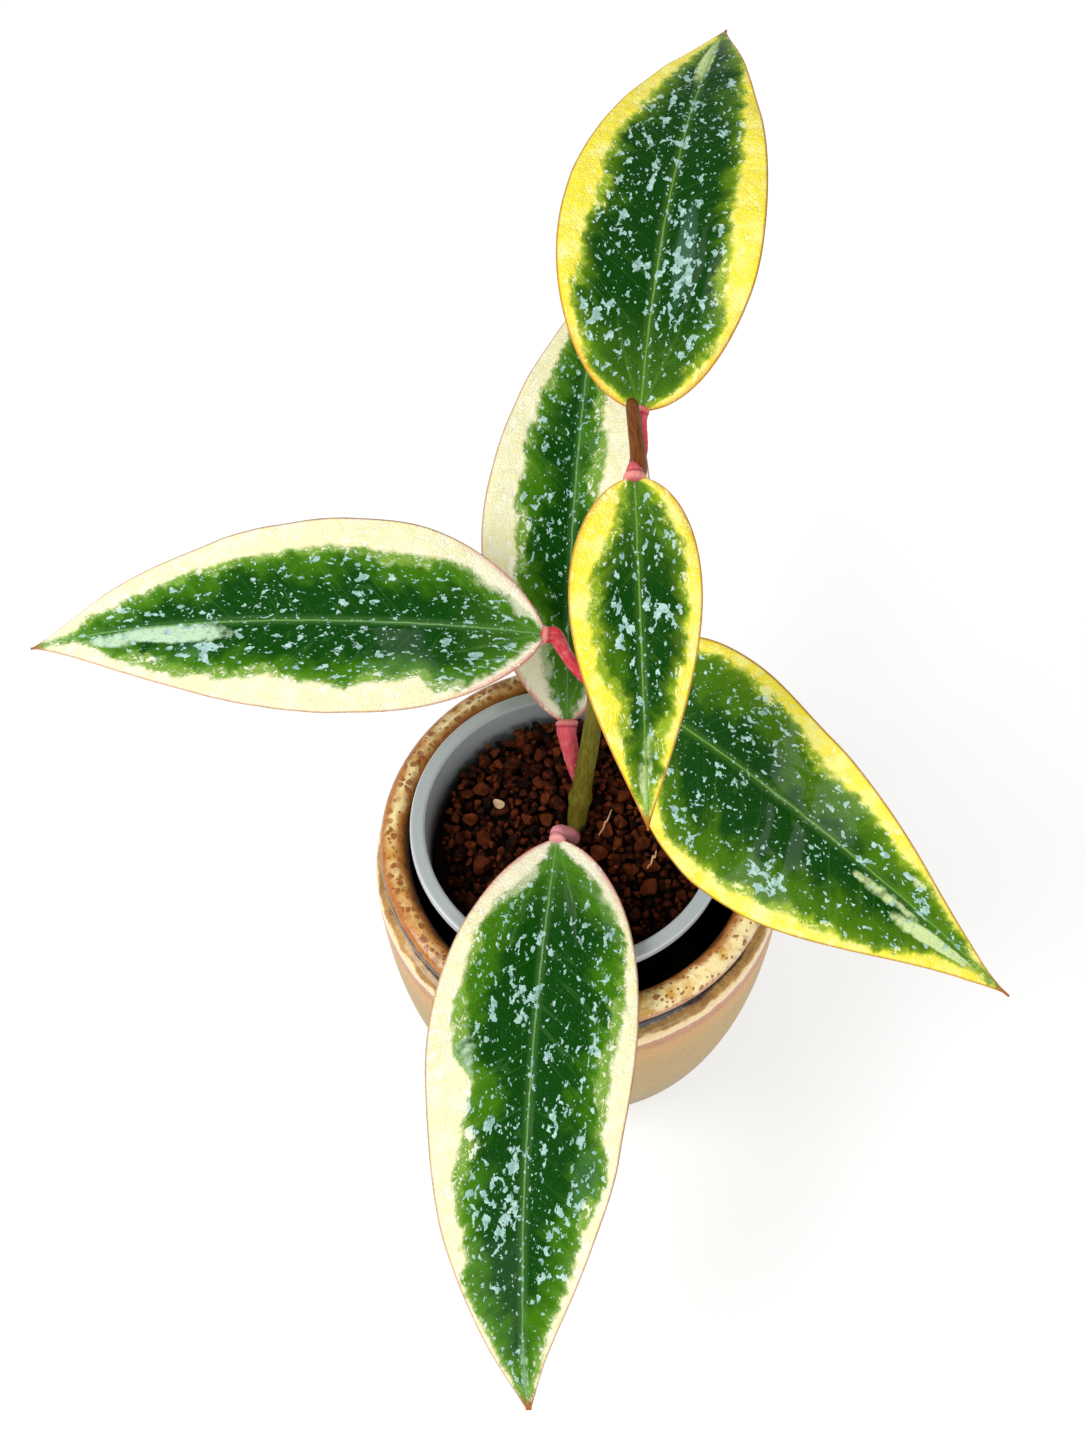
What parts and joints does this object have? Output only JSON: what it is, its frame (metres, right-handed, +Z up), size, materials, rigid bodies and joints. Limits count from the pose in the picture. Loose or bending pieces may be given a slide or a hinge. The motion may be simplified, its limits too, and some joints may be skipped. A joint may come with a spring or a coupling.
{
  "type": "potted rangsan albo splash hoya",
  "caption": "Young splash-variegated hoya on one leaning stem with opposite pointed leaves, rooted in clay granules in a grey nursery pot that stands inside a glazed cover pot.",
  "frame": {"origin": "centre of the cover pot's flat base, on the surface it stands on", "axes": "+Z up, -Y towards the front leaf and the viewer, +X to the viewer's right"},
  "size_m": [0.2583, 0.3299, 0.2707],
  "materials": {
    "glaze": "gloss",
    "nursery_plastic": "satin",
    "clay": "matte",
    "granule": "matte",
    "stem": "satin",
    "petiole": "satin",
    "leaf_cream": "gloss",
    "leaf_yellow": "gloss",
    "husk": "matte",
    "root": "matte"
  },
  "bodies": {
    "root": {"cover_pot": "glaze", "granule_01": "granule", "granule_02": "granule", "granule_03": "granule", "granule_04": "granule", "granule_05": "granule", "granule_06": "granule", "granule_07": "granule", "granule_08": "granule", "granule_09": "granule", "granule_10": "granule", "granule_11": "granule", "granule_12": "granule", "granule_13": "granule", "granule_14": "granule", "granule_15": "granule", "granule_16": "granule", "granule_17": "granule", "granule_18": "granule", "granule_19": "granule", "granule_20": "granule", "granule_21": "granule", "granule_22": "granule", "granule_23": "granule", "granule_24": "granule", "granule_25": "granule", "leaf_lower_back": "leaf_cream", "leaf_lower_front": "leaf_cream", "leaf_middle_left": "leaf_cream", "leaf_middle_right": "leaf_yellow", "leaf_upper_back": "leaf_yellow", "leaf_upper_front": "leaf_yellow", "main_stem": "stem", "nursery_pot": "nursery_plastic", "petiole_lower_back": "petiole", "petiole_lower_front": "petiole", "petiole_middle_left": "petiole", "petiole_middle_right": "petiole", "petiole_upper_back": "petiole", "petiole_upper_front": "petiole", "root_strand_1": "root", "root_strand_2": "root", "seed_husk": "husk", "substrate_bed": "clay"}
  },
  "joints": []
}
